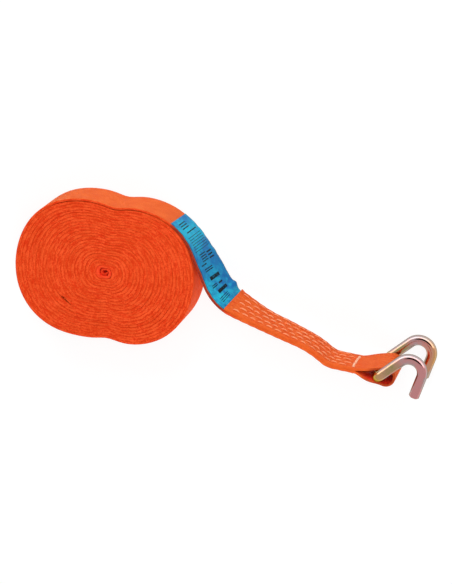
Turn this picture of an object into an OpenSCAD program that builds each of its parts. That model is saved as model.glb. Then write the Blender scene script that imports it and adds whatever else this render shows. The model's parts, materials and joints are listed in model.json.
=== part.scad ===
// Tie-down strap as it is put away: flat webbing wound in a roll, its free end sewn into an eye
// round the bar of a double J hook. The roll lies on the edges of its turns, the hook on its lower arm.
// Origin: middle of the roll on the surface below it. +X runs from the roll to the hook, +Z is up.

/* [Webbing] */
// Width of the webbing
strap_w = 50; // [40:1:60]
// Thickness of the webbing
strap_t = 2; // [1.6:0.1:2.6]

/* [Roll] */
// Turns in the roll
roll_turns = 24; // [10:1:24]
// Least gap between one turn and the next
turn_gap = 0.7; // [0.5:0.1:1.5]
// Mean radius of the innermost turn
core_r = 4.5; // [4.5:0.5:12]
// How far the roll is drawn out along its long axis, in percent of its mean radius
roll_oval = 13.5; // [0:0.5:18]
// How full the roll is at its corners, in percent of its mean radius
roll_fullness = 2.5; // [0:0.1:4]
// How deep the roll is dented across its two flat sides, in percent of its mean radius
roll_dent = 4; // [0:0.5:5]
// Direction of the roll's long axis
roll_axis = -7.6; // [-15:0.1:15]
// Direction from the middle of the roll at which the wound length ends and the lead begins
roll_end = 45; // [40:1:55]
// Direction at which the lead comes away from the turn below it
roll_leave = 17; // [12:1:25]

/* [Lead] */
// Length of the lead from the roll to the eye's tack
lead_free = 213; // [195:1:300]
// How far the lead's lower edge leans out where it comes away from the roll
lead_lean = 11; // [0:0.5:12]
// How far the lower edge of the splice leans the other way
splice_lean = 2; // [0:0.5:4]

/* [Eye and splice] */
// Length from the eye's tack to the middle of the eye's round end
eye_len = 32; // [30:1:45]
// Room for the bar in the eye's round end, all round
eye_room = 2.2; // [1:0.1:4]
// Bend of the two plies where they part at the tack
eye_neck_r = 15; // [10:1:25]
// Length of webbing folded back and sewn to the lead
fold_len = 142; // [110:1:150]

/* [Stitching] */
// Rows of stitches along the splice
stitch_rows = 5; // [3:1:7]
// Length of one stitch
stitch_len = 5.5; // [4:0.5:7]
// Step from one stitch to the next along a row
stitch_step = 8; // [7.5:0.5:12]
// Thickness of the sewing thread
thread_d = 0.8; // [0.5:0.1:1.2]
// Width of the border outside the outer rows
stitch_border = 6; // [4:0.5:10]
// Length of one stitch of the tack that closes the eye
tack_len = 3; // [2:0.5:6]
// Step from one stitch to the next across the tack
tack_step = 2; // [1.5:0.1:4]

/* [Label] */
// Length of the label along the strap
label_len = 109; // [60:1:115]
// Width of the label
label_w = 49; // [30:1:49]
// Thickness of the label
label_t = 0.4; // [0.2:0.1:0.6]
// Length of the label's end that is caught under the folded ply
label_tuck = 6; // [3:0.5:12]

/* [Hook] */
// Diameter of the hook's bar
wire_d = 10.5; // [9:0.5:13]
// Play between the webbing's edge and each arm
side_play = 2.25; // [0.5:0.25:4]
// Bend of the bar into each arm, on its centre line
corner_r = 7.5; // [7:0.5:8]
// Length of each arm from the bar's axis to the start of its bend
arm_len = 30; // [22:1:45]
// Radius of the throat inside each bend
throat_r = 8; // [4:0.5:15]
// Angle through which each arm is bent back
hook_turn = 148; // [120:1:170]
// Straight length of each prong
prong_len = 22; // [12:1:40]
// How much slimmer the drawn-out prong is than its bend
prong_relief = 0.1; // [0.1:0.05:1]
// Bevel round each prong's end
prong_bevel = 1.2; // [0.5:0.1:2]
// Angle between the strap's line and the arms, as the hook lies
hook_swing = 46.5; // [0:0.5:90]

/* [Hidden] */
$fn = 96;
// Runs of the lead after it comes away from the roll, chosen by hand: share of its length, turn to the left
lead_runs = [[0.17, -0.8], [0.2006, 48.5], [0.3212, 0.2], [0.1486, -20.7], [0.0609, 31.5], [0.0987, 0.7]];
// Directions of the roll's dents, and the angle over which a dent fades
dents = [80, -88];
dent_width = 11;
// Distances along the lead at which it begins to lean out, and its lower edge to rise to the eye
lean_start = 16;
rise_start = 40;
// Lengths before the tack from which the lead leans the other way, and over which it is level
lean_back_span = 90;
level_span = 34;
// Lengths over which the splice comes to its lean, and the eye comes upright again after the tack
lean_back_run = 35;
eye_upright_run = 15;
// Length of each prong's root inside its bend
prong_root = 0.5;
// Clearances: bar to webbing, thread to webbing, label to webbing
bar_fit = 0.4;
thread_fit = 0.1;
label_fit = 0.1;
// Points in a turn, greatest steps along a length of webbing, and bands across its width where it twists
turn_points = 36;
path_step = 2.5;
arc_step = 15;
twist_bands = 4;
// Part of a turn to each side that gives the direction of the roll
heading_step = 0.001;
wire_r = wire_d / 2;
turn_step = (strap_t + turn_gap) / (1 - (roll_oval + roll_fullness + roll_dent) / 100);
ply_gap = label_t + 2 * label_fit;
ply_pitch = strap_t + ply_gap;
eye_r = wire_r + strap_t / 2 + eye_room;
bend_r = throat_r + wire_r;
prong_d = wire_d - prong_relief;
arm_span = strap_w + 2 * side_play + wire_d;
eye_lift = wire_d + side_play;

webbing_colour = [0.93, 0.33, 0.14];
thread_colour = [0.96, 0.72, 0.55];
label_colour = [0.2, 0.56, 0.68];
hook_colour = [0.78, 0.7, 0.5];

// Share of a dent's depth in direction a
function dented(a, at) = exp(-pow(((a - at + 180) % 360 + 360) % 360 - 180, 2) / pow(dent_width, 2));

// Place of the webbing's centre line after u turns from the core; outward it winds clockwise
function roll_place(u) =
    let (a = roll_end + 360 * (roll_turns - u))
    let (b = a - roll_axis)
    let (r = core_r + turn_step * u)
    let (dent = roll_dent * (dented(a, dents[0]) + dented(a, dents[1])))
    let (k = 1 + (roll_oval * cos(2 * b) - roll_fullness * cos(4 * b) - dent) / 100)
    r * k * [cos(a), sin(a)];
function roll_heading(u) =
    let (d = roll_place(u + heading_step) - roll_place(u - heading_step))
    atan2(d.y, d.x);
function left_of(heading) = [-sin(heading), cos(heading)];
function roll_side(u, w) = roll_place(u) + w * left_of(roll_heading(u));

// Arcs and straight runs followed from a place [x, y, heading]
function step_along(p, length, turn) =
    let (chord = turn == 0 ? length : length * sin(turn / 2) / (turn / 2 * PI / 180))
    let (a = p[2] + turn / 2)
    [p.x + chord * cos(a), p.y + chord * sin(a), p[2] + turn];
function run_places(p, run) =
    let (n = max(1, ceil(run[0] / path_step), ceil(abs(run[1]) / arc_step)))
    [for (i = [1:n]) step_along(p, run[0] * i / n, run[1] * i / n)];
function follow(p, runs, i = 0) =
    i == len(runs) ? [] :
    let (run = run_places(p, runs[i]))
    concat(run, follow(run[len(run) - 1], runs, i + 1));

// The lead: its places, and the distance of each from the end of the wound length
leave_u = roll_turns + (roll_end - roll_leave) / 360;
roll_part = [for (i = [-turn_points / 2:turn_points])
    let (u = i < 0 ? roll_turns + i / turn_points : roll_turns + (leave_u - roll_turns) * i / turn_points)
    concat(roll_place(u), roll_heading(u))];
free_runs = [for (run = lead_runs) [run[0] * lead_free, run[1]]];
lead_places = concat(roll_part, follow(roll_part[len(roll_part) - 1], free_runs));
function running_total(steps, i = 0, sum = 0) =
    i == len(steps) ? [sum] : concat(sum, running_total(steps, i + 1, sum + steps[i]));
lead_totals = running_total([for (i = [1:len(lead_places) - 1])
    norm([lead_places[i].x - lead_places[i - 1].x, lead_places[i].y - lead_places[i - 1].y])]);
lead_zero = lead_totals[turn_points / 2];
lead_x = [for (i = [0:len(lead_places) - 1]) [lead_totals[i] - lead_zero, lead_places[i].x]];
lead_y = [for (i = [0:len(lead_places) - 1]) [lead_totals[i] - lead_zero, lead_places[i].y]];
lead_h = [for (i = [0:len(lead_places) - 1]) [lead_totals[i] - lead_zero, lead_places[i][2]]];
lead_len = lead_totals[len(lead_totals) - 1] - lead_zero;
fold_start = lead_len - fold_len;
label_start = fold_start + label_tuck - label_len;

// Section of the strap at distance s along the lead: place, heading, height of its lower edge, lean
function smooth(x) = let (c = max(0, min(1, x))) c * c * (3 - 2 * c);
function lead_lift(s) = eye_lift * smooth((s - rise_start) / (lead_len - level_span - rise_start));
function hump(s, from, to) = pow(sin(180 * max(0, min(1, (s - from) / (to - from)))), 2);
function lead_tilt(s) =
    let (turn_over = lead_len - lean_back_span)
    lead_lean * hump(s, lean_start, turn_over) - splice_lean * smooth((s - turn_over) / lean_back_run);
function lead_section(s) =
    [lookup(s, lead_x), lookup(s, lead_y), lookup(s, lead_h), lead_lift(s), lead_tilt(s)];
function spaced(from, to) =
    let (n = ceil((to - from) / path_step))
    [for (i = [0:n]) from + (to - from) * i / n];

// Outline of a strip on a section, from height v0 to v1 in bands and from offset w0 to w1 to the left
function corner(p, v, w) =
    let (side = left_of(p[2]) * (w + p[4] * (1 - v / strap_w)))
    [p.x + side.x, p.y + side.y, p[3] + v * sqrt(1 - pow(p[4] / strap_w, 2))];
function strip_ring(p, v, w, bands) =
    let (heights = [for (j = [0:bands]) v[0] + (v[1] - v[0]) * j / bands])
    concat([for (j = [0:bands]) corner(p, heights[j], w[1])],
        [for (j = [bands:-1:0]) corner(p, heights[j], w[0])]);
module strip(sections, v, w, bands = 1) {
    points = [for (p = sections) each strip_ring(p, v, w, bands)];
    ring = 2 * (bands + 1);
    last = len(points) - ring;
    sides = [for (i = [0:ring:last - ring]) for (j = [0:ring - 1])
        let (a = i + j)
        let (b = i + (j + 1) % ring)
        each [[a, a + ring, b + ring], [a, b + ring, b]]];
    caps = [for (j = [0:bands - 1])
        let (k = ring - 1 - j)
        each [[j, j + 1, k - 1], [j, k - 1, k],
            [last + j, last + k - 1, last + j + 1], [last + j, last + k, last + k - 1]]];
    polyhedron(points, concat(sides, caps));
}

// The eye, in a frame whose origin is between the two plies at the tack, with +X along the strap
tack_place = lead_section(lead_len);
neck_reach = ply_pitch / 2 + eye_neck_r;
eye_slope = asin((eye_r + eye_neck_r) / norm([eye_len, neck_reach])) - atan2(neck_reach, eye_len);
eye_side = (eye_len - (eye_r + eye_neck_r) * sin(eye_slope)) / cos(eye_slope);
neck_run = [eye_neck_r * eye_slope * PI / 180, -eye_slope];
round_run = [eye_r * (180 + 2 * eye_slope) * PI / 180, 180 + 2 * eye_slope];
eye_runs = [neck_run, [eye_side, 0], round_run, [eye_side, 0], neck_run];
eye_places = concat([tack_place], follow(tack_place, eye_runs));
function eye_tilt(p) =
    let (axis = [cos(tack_place[2]), sin(tack_place[2])])
    let (along = [p.x - tack_place.x, p.y - tack_place.y] * axis)
    let (way = cos(p[2] - tack_place[2]) > 0 ? 1 : -1)
    way * tack_place[4] * (1 - smooth(along / eye_upright_run));
eye_sections = [for (p = eye_places) [p.x, p.y, p[2], eye_lift, eye_tilt(p)]];
bar_along = eye_len - (eye_room - bar_fit) / sin(eye_slope);
bar_place = [tack_place.x, tack_place.y] + ply_pitch / 2 * left_of(tack_place[2])
    + bar_along * [cos(tack_place[2]), sin(tack_place[2])];
hook_heading = tack_place[2] + hook_swing;

// Least gap between a turn and the next, measured from points on one to edges of the other
function edge_gap(p, a, b) =
    let (d = b - a)
    let (f = max(0, min(1, (p - a) * d / (d * d))))
    norm(p - a - f * d);
inner_side = [for (i = [0:turn_points * roll_turns]) roll_side(i / turn_points, -strap_t / 2)];
outer_side = [for (i = [0:turn_points * roll_turns]) roll_side(i / turn_points, strap_t / 2)];
least_gap = min([for (i = [0:turn_points * (roll_turns - 1) - 4]) for (j = [-4:3])
    let (k = max(0, i + turn_points + j))
    edge_gap(outer_side[i], inner_side[k], inner_side[k + 1])]);
wound_len = running_total([for (i = [1:turn_points * roll_turns])
    norm(roll_place(i / turn_points) - roll_place((i - 1) / turn_points))])[turn_points * roll_turns];
echo(least_gap_between_turns = least_gap, wound_length = wound_len, lead_length = lead_len);
echo(bar_place = bar_place, hook_heading = hook_heading, tack_place = tack_place, eye_slope = eye_slope);

module strap_roll() {
    color(webbing_colour)
    linear_extrude(strap_w)
    polygon(concat(outer_side, [for (i = [len(inner_side) - 1:-1:0]) inner_side[i]]));
}

module strap_lead() {
    color(webbing_colour)
    strip([for (s = spaced(0, lead_len)) lead_section(s)], [0, strap_w],
        [-strap_t / 2, strap_t / 2], twist_bands);
}

module strap_eye() {
    color(webbing_colour)
    strip(eye_sections, [0, strap_w], [-strap_t / 2, strap_t / 2]);
}

module strap_foldback() {
    color(webbing_colour)
    strip([for (s = spaced(fold_start, lead_len)) lead_section(s)], [0, strap_w],
        [ply_pitch - strap_t / 2, ply_pitch + strap_t / 2], twist_bands);
}

module strap_label() {
    low = (strap_w - label_w) / 2;
    face = strap_t / 2 + label_fit;
    color(label_colour)
    strip([for (s = spaced(label_start, label_start + label_len)) lead_section(s)],
        [low, low + label_w], [face, face + label_t], twist_bands);
}

// One stitch as it shows on both faces of the splice
module stitch(s, v, length) {
    sections = [for (t = spaced(s, s + length)) lead_section(t)];
    height = [v - thread_d / 2, v + thread_d / 2];
    front = ply_pitch + strap_t / 2 + thread_fit;
    back = -strap_t / 2 - thread_fit;
    strip(sections, height, [front, front + thread_d]);
    strip(sections, height, [back - thread_d, back]);
}

module splice_stitching() {
    row_step = (strap_w - 2 * stitch_border) / (stitch_rows - 1);
    room = fold_len - stitch_border - tack_len - stitch_len - stitch_step;
    color(thread_colour)
    for (row = [0:stitch_rows - 1])
        for (i = [0:floor(room / stitch_step)])
            stitch(fold_start + stitch_border + (i + (row % 2) / 2) * stitch_step,
                stitch_border + row * row_step, stitch_len);
}

module eye_tack() {
    count = floor((strap_w - 2 * stitch_border) / tack_step);
    color(thread_colour)
    for (i = [0:count])
        stitch(lead_len - tack_len, strap_w / 2 + (i - count / 2) * tack_step, tack_len);
}

// One arm: straight from the corner bend, bent back round the throat, straight to the bevelled end
module hook_arm() {
    translate([corner_r, 0, 0]) rotate([0, 90, 0]) cylinder(h = arm_len - corner_r, d = wire_d);
    translate([arm_len, -bend_r, 0]) {
        rotate([0, 0, 90]) rotate_extrude(angle = -hook_turn) translate([bend_r, 0]) circle(d = wire_d);
        rotate([0, 0, -hook_turn]) translate([0, bend_r, 0]) rotate([0, 90, 0]) {
            translate([0, 0, -prong_root]) cylinder(h = prong_root + prong_len - prong_bevel, d = prong_d);
            translate([0, 0, prong_len - prong_bevel])
                cylinder(h = prong_bevel, d1 = prong_d, d2 = prong_d - 2 * prong_bevel);
        }
    }
}

module hook_corner() {
    translate([corner_r, 0, corner_r]) rotate([90, 0, 0]) rotate([0, 0, 180])
        rotate_extrude(angle = 90) translate([corner_r, 0]) circle(d = wire_d);
}

module claw_hook() {
    color(hook_colour)
    translate([bar_place.x, bar_place.y, wire_r]) rotate([0, 0, hook_heading]) {
        hook_arm();
        hook_corner();
        translate([0, 0, corner_r]) cylinder(h = arm_span - 2 * corner_r, d = wire_d);
        translate([0, 0, arm_span]) mirror([0, 0, 1]) hook_corner();
        translate([0, 0, arm_span]) hook_arm();
    }
}

strap_roll();
strap_lead();
strap_eye();
strap_foldback();
strap_label();
splice_stitching();
eye_tack();
claw_hook();
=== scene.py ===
"""Looks of the rolled tie-down strap: webbing, label, thread, hook and stage, built round its CAD frame."""
import json
import math

import bpy
import numpy as np
from mathutils import Color, Matrix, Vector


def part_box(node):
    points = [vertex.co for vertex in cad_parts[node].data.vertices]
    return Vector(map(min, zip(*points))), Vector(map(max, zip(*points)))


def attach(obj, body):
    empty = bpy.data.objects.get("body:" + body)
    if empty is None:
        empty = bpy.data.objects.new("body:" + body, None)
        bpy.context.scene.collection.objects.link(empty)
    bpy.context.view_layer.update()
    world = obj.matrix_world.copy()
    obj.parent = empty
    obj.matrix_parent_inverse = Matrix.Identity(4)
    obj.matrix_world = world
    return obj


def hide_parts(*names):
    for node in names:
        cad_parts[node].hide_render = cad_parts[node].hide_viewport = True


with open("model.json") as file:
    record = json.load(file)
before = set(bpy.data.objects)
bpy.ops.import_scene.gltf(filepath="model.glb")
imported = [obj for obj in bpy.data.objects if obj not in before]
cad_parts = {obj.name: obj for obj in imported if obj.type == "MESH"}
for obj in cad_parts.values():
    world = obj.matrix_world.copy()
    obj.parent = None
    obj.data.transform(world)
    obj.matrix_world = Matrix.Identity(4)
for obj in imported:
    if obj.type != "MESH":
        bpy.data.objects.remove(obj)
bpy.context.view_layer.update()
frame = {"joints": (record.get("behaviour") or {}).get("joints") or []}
BAR_PLACE = frame["joints"][0]["pos_m"]
ROLL_LOW, ROLL_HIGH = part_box("strap_roll")

bl_info = {
    "name": "Rolled tie-down strap",
    "version": (1, 0, 0),
    "blender": (4, 5, 0),
    "location": "View3D > Sidebar > Tie-down",
    "description": "Makes the webbing, label, sewing, hook and stage of a rolled tie-down strap",
    "category": "Object",
}

WHITE = (1.0, 1.0, 1.0, 1.0)

# Route of the lead after it comes away from the roll: share of its length, turn to the left in degrees
LEAD_RUNS = ((0.17, -0.8), (0.2006, 48.5), (0.3212, 0.2), (0.1486, -20.7), (0.0609, 31.5), (0.0987, 0.7))
# Directions of the dents across the roll's flat sides, in degrees
DENTS = (80, -88)
# Steps of the strap's line: stations to a turn of the roll, metres along the lead, metres round the eye
TURN_STATIONS, LEAD_STEP, EYE_STEP = 96, 0.0015, 0.0009
# Turns before and after a station between which its heading is taken
NUDGE = 1e-4
# Share of the eye's far side that stays straight before it sags
SAG_START = 0.3
# Bands on each face of the webbing, points from face to face round an edge, and the power that rounds it
FACE_BANDS, EDGE_POINTS, EDGE_POWER = 8, 9, 0.7

# Waves of the turns in the roll: seed, longest and shortest wavelength in metres
PROUD_WAVES, STRAY_WAVES = (5, 0.9, 0.06), (11, 0.3, 0.03)
# Lengths over which those waves die out, at the wound end and at the core's end
WAVES_OUT, WAVES_IN = 0.06, 0.02
# Turns over which the core comes up to the roll's face, turns over which it comes to its full swell, and
# the share of that swell at its end
CORE_RISE, CORE_RUN, CORE_SWELL = 0.6, 0.9, 0.45
# Turns over which the last turn comes to stand off, and over which the swell ends where no turn is beside it
GAPE_RUN, SWELL_RUN = 0.05, 0.02
# Turn at which two turns part in one place, and half the stretch there, in turns
PARTED = (13.527, 0.016)
# Distance from the wound end at which the lead's outer face begins to loft, and the length that this takes
LOFT_START, LOFT_RUN = 0.03, 0.03
# Length over which the sewing takes hold, the room past the label's tuck before the plies close up, and the
# share of the gap between them that each ply takes
SEW_RUN, CLOSE_START, CLOSE_SHARE = 0.004, 0.001, 0.45

# Stations of the label along and across the strap
LABEL_STATIONS = (141, 41)
# How far before the fold its creases end, and the lengths over which they die out there and at the free end
CREASE_END, CREASE_OUT, CREASE_IN = 0.002, 0.008, 0.010
# Creases: slope across the label, share of the crinkle, and the waves' seed, wavelengths and number
RIDGES, PLEATS = (0.4, 0.35, (21, 0.05, 0.012, 6)), (-0.7, 0.3, (23, 0.06, 0.02, 5))
# Puff of its lower edge before the fold: height, length over which that fades, distance from the fold, half
# the length along the strap, and how many times the crinkle it stands off
PUFF_HEIGHT, PUFF_FADE, PUFF_BACK, PUFF_HALF, PUFF_SHARE = 0.016, 0.014, 0.012, 0.005, 2.2
# Generic print: ends along and across the label as shares of its sides, number of rules, share of each inked
LABEL_PRINT = (
    (0.050, 0.128, 0.38, 0.78, 3, 0.42), (0.150, 0.172, 0.12, 0.74, 1, 0.50),
    (0.200, 0.360, 0.10, 0.86, 7, 0.24), (0.375, 0.465, 0.44, 0.74, 4, 0.45),
    (0.385, 0.475, 0.16, 0.38, 3, 0.50), (0.470, 0.500, 0.62, 0.86, 1, 0.40),
    (0.515, 0.555, 0.44, 0.80, 2, 0.50), (0.598, 0.634, 0.32, 0.74, 1, 1.00),
    (0.680, 0.720, 0.58, 0.80, 2, 0.50), (0.690, 0.720, 0.34, 0.50, 1, 0.60),
    (0.750, 0.788, 0.30, 0.70, 1, 1.00), (0.825, 0.885, 0.42, 0.82, 3, 0.40))
# Painted shade, deeper blue in the label's middle, and a painted highlight, paler blue near its free end:
# place along it, and where each fades
SHADE_PLACE, SHADE_FADE = 0.47, (0.20, 0.06)
HIGHLIGHT_PLACE, HIGHLIGHT_FADE = 0.17, (0.13, 0.04)
# Darker band along the label's two edges: distance from its middle, as a share of its width
EDGE_BAND_FADE = (0.46, 0.495)

# Seed of the stitches, and how far they stray along and across the strap
STITCH_SEED, ROW_STRAY, TACK_STRAY = 41, (0.0005, 0.00045), (0.0003, 0.0002)
# Shortest and longest stitch as shares of its named length, and how much heavier the tack's thread is
ROW_LENGTHS, TACK_LENGTHS, TACK_WEIGHT = (0.80, 1.15), (0.8, 1.1), 1.3
# Rings along a stitch and points round one, radius at its ends against the middle, height of its bow
STITCH_RINGS, STITCH_POINTS, STITCH_END, STITCH_BOW = 7, 6, 0.3, 0.55

# Stations of the hook along prong, bend, arm, corner and bar, rings of its bevel, and points round it
HOOK_STATIONS, BEVEL_RINGS, BAR_POINTS = (14, 60, 14, 22, 20), 3, 48

# Noise in the finishes, in waves a metre: along, round and through a piece, or the same all ways
EDGE_FIBRES, FACE_STREAKS, BAR_STREAKS = (120.0, 700.0, 1.0), (170.0, 620.0, 1.0), (60.0, 900.0, 1.0)
EDGE_GRAIN, EDGE_PATCHES, INK_WEAR = 650.0, 38.0, 420.0
WEBBING_DRIFT, LABEL_DRIFT, THREAD_DRIFT, ZINC_DRIFT, ZINC_SPOTS = 75.0, 40.0, 60.0, 60.0, 95.0
# Twist of the thread, in radians a metre along and round it
TWIST = (5000.0, 2500.0)
# Fades of colour along the webbing, in metres from a place on it: where each begins and where it is full.
# The places are, in turn, the fold's cut end, the label's free end, the tack, the start and the end of the
# outer turn, and the core's end. They bring painted shade to the edges beside the label and round the eye and
# to the turns inside the outer one, painted light to the outer turn, and painted bounce light to the eye and
# the core.
SEWN_IN, LABEL_SHADE_OUT = (0.0, 0.020), (0.004, -0.008)
LABEL_SHADE_IN = (0.0, 0.012)
EYE_IN, EYE_OUT = (0.004, 0.016), (0.085, 0.070)
INNER_SHADE_OUT, OUTER_IN = (0.0, -0.050), (0.0, 0.030)
OUTER_OUT = (0.0, -0.060)
CORE_OUT = (0.075, 0.030)
# Turns before the wound end at which the outer turn begins and ends
OUTER_TURNS = (0.98, 0.55)
# Fades of the plating, in metres from the end of a hook's bend towards the bar
ARM_IN, GOLD_START, GREEN_OUT = (-0.004, 0.012), 0.019, (0.024, 0.014)
# Share of the lower bend that is tinted as its prong is, and share of a prong before the gold begins
LOWER_BEND, GOLD_PRONG = 0.85, 0.3

# Half the floor's side and how far it lies under the object
FLOOR_HALF, FLOOR_DROP = 6, 0.0003
# Brightness of the plain white in the floor
FLOOR_WHITE = 1.05
# Place that the lamps shine on; each lamp's setting, place and side
LIT_PLACE = (0.1, -0.03, 0.03)
LAMPS = (
    ("key", (-0.1, 1.45, 1.0), 1.1), ("fill", (0.9, -1.5, 0.9), 1.6), ("front", (0.476, 0.418, 1.518), 0.6))
# Camera: sensor and lens in millimetres, range in metres, and its axes and place as rows of a matrix
SENSOR, LENS, RANGE = 36.0, 130.685, (0.05, 30)
CAMERA = (
    (0.972017, -0.064760, 0.225807, 0.602124), (0.0, 0.961250, 0.275679, 0.569935),
    (-0.234910, -0.267965, 0.934351, 2.020825), (0, 0, 0, 1))
# Parts of the sky in reflections, by the components x, y and z of the way there: the far side, the low strip,
# and the foot, the top and the side of the dark band above it
FAR_Y, STRIP_Z = (0.12, 0.30), (0.54, 0.46)
BAND_FOOT_Z, BAND_TOP_Z, BAND_X = (0.48, 0.54), (0.95, 0.91), (-0.40, -0.15)


def length(name, text, value):
    """A length in metres that a user may change."""
    return bpy.props.FloatProperty(name=name, description=text, default=value, unit="LENGTH", precision=5)


def angle(name, text, degrees):
    """An angle that a user may change, given in degrees."""
    value = math.radians(degrees)
    return bpy.props.FloatProperty(name=name, description=text, default=value, subtype="ANGLE")


def share(name, text, value):
    """A part of one."""
    return bpy.props.FloatProperty(name=name, description=text, default=value, subtype="FACTOR", min=0, max=1)


def count(name, text, value):
    """A whole number."""
    return bpy.props.IntProperty(name=name, description=text, default=value, min=1)


def colour(name, text, red, green, blue):
    """A colour, linear."""
    return bpy.props.FloatVectorProperty(
        name=name, description=text, default=(red, green, blue), subtype="COLOR", min=0, max=1)


def power(name, text, value):
    """The strength of a lamp or of the sky."""
    return bpy.props.FloatProperty(name=name, description=text, default=value, min=0)


class StrapSizes(bpy.types.PropertyGroup):
    """Sizes of the webbing and of the way it lies."""
    width: length("Width", "Width of the webbing", ROLL_HIGH.z - ROLL_LOW.z)
    thickness: length("Thickness", "Thickness of the webbing", 0.002)
    rib: length("Rib", "Width of one rib of the weave", 0.00125)
    float_run: length("Float", "Length of one float of the weave", 0.0026)
    turns: count("Turns", "Turns in the roll", 24)
    turn_gap: length("Turn gap", "Least gap between one turn and the next", 0.0007)
    core: length("Core", "Mean radius of the innermost turn", 0.0045)
    oval: share("Oval", "How far the roll is drawn out along its long axis", 0.135)
    fullness: share("Fullness", "How full the roll is at its corners", 0.025)
    dent: share("Dent", "How deep the roll is dented across its flat sides", 0.04)
    dent_width: angle("Dent width", "Angle over which a dent fades", 11)
    long_axis: angle("Long axis", "Direction of the roll's long axis", -7.6)
    wound_end: angle("Wound end", "Direction at which the wound length ends", 45)
    leave: angle("Leave", "Direction at which the lead comes away from the roll", 17)
    lead: length("Lead", "Length of the lead from the roll to the eye's tack", 0.213)
    lean: length("Lean", "How far the lead's lower edge leans out", 0.011)
    splice_lean: length("Splice lean", "How far the splice's lower edge leans the other way", 0.002)
    lean_start: length("Lean start", "Distance along the lead at which it begins to lean", 0.016)
    rise_start: length("Rise start", "Distance along the lead at which it begins to rise", 0.040)
    lean_back: length("Lean back", "Length before the tack from which it leans the other way", 0.090)
    lean_back_run: length("Lean back run", "Length over which it comes to that lean", 0.035)
    eye_upright: length("Eye upright", "Length over which the eye comes upright after the tack", 0.015)
    level: length("Level", "Length before the tack over which the lead is level", 0.034)
    eye: length("Eye", "Length from the tack to the middle of the eye's round end", 0.032)
    eye_room: length("Eye room", "Room for the bar in the eye, all round", 0.0022)
    neck: length("Neck", "Bend of the two plies where they part", 0.015)
    fold: length("Fold", "Length of webbing folded back and sewn down", 0.142)
    slant: length("Slant", "How far the fold's cut end reaches on at its upper edge", 0.0028)
    slant_run: length("Slant run", "Length at the fold's end that is drawn out of square", 0.020)
    ply_gap: length("Ply gap", "Gap between the two plies of the splice", 0.0006)
    unevenness: length("Unevenness", "How far the turns stand proud of one another", 0.0009)
    wobble: length("Wobble", "How far a turn strays sideways", 0.00005)
    loft: length("Loft", "How far the outer face of lead, eye and fold stands out", 0.0004)
    slit: length("Slit", "Width left open between the turns, which swell to fill the rest", 0.00007)
    edge: length("Edge", "Height of the rounding along both edges", 0.0004)
    curl: share("Curl", "Part of a turn that curls into the core", 0.9)
    sink: length("Sink", "How far the curl in the core lies below the roll's face", 0.0025)
    loose: angle("Loose", "Angle before the wound end over which the last turn stands off the roll", 92)
    gape: length("Gape", "Width open inside the last turn where it stands off", 0.0007)
    part: length("Part", "Width at the top of the one place where two turns part", 0.0021)
    bulge: length("Bulge", "How far the near side of the eye bulges", 0.002)
    sag: length("Sag", "How far the far side of the eye sags in", 0.0006)
    pucker: length("Pucker", "How far the sewing draws the edges in", 0.00035)


class LabelSizes(bpy.types.PropertyGroup):
    """Sizes of the label under the folded end."""
    length: length("Length", "Length of the label along the strap", 0.109)
    width: length("Width", "Width of the label", 0.049)
    thickness: length("Thickness", "Thickness of the label", 0.0004)
    rib: length("Rib", "Width of one rib of the label's weave", 0.0004)
    float_run: length("Float", "Length of one float of the label's weave", 0.0006)
    tuck: length("Tuck", "Length caught under the folded ply", 0.006)
    fit: length("Fit", "Clearance to the webbing", 0.0001)
    crinkle: length("Crinkle", "How far the label's creases stand off the strap", 0.0009)
    drawn: length("Drawn", "How far the tucked end's upper edge is drawn in", 0.004)
    slant: length("Slant", "How far the free end reaches on at its upper edge", 0.0024)


class SewingSizes(bpy.types.PropertyGroup):
    """Sizes of the stitches through the splice."""
    rows: count("Rows", "Rows of stitches along the splice", 5)
    stitch: length("Stitch", "Length of one stitch", 0.0074)
    step: length("Step", "Step from one stitch to the next", 0.0092)
    thread: length("Thread", "Thickness of the thread", 0.0012)
    border: length("Border", "Width of the border outside the outer rows", 0.006)
    tack: length("Tack", "Length of one stitch of the eye's tack", 0.003)
    tack_rise: length("Tack rise", "How far the tack sits above the middle of the strap", 0.003)
    tack_step: length("Tack step", "Step from one stitch to the next across the tack", 0.002)


class HookSizes(bpy.types.PropertyGroup):
    """Sizes of the bent bar."""
    bar: length("Bar", "Diameter of the bar", 0.0105)
    corner: length("Corner", "Bend of the bar into each arm, on its centre line", 0.0075)
    arm: length("Arm", "Length of each arm from the bar to its bend", 0.030)
    throat: length("Throat", "Radius inside each bend", 0.008)
    turn: angle("Turn", "Angle through which each arm is bent back", 148)
    prong: length("Prong", "Straight length of each prong", 0.022)
    bevel: length("Bevel", "Bevel round each prong's end", 0.0012)
    swing: angle("Swing", "Angle between the strap's line and the arms", 46.5)
    side_play: length("Side play", "Play between the webbing's edge and each arm", 0.00225)


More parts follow.
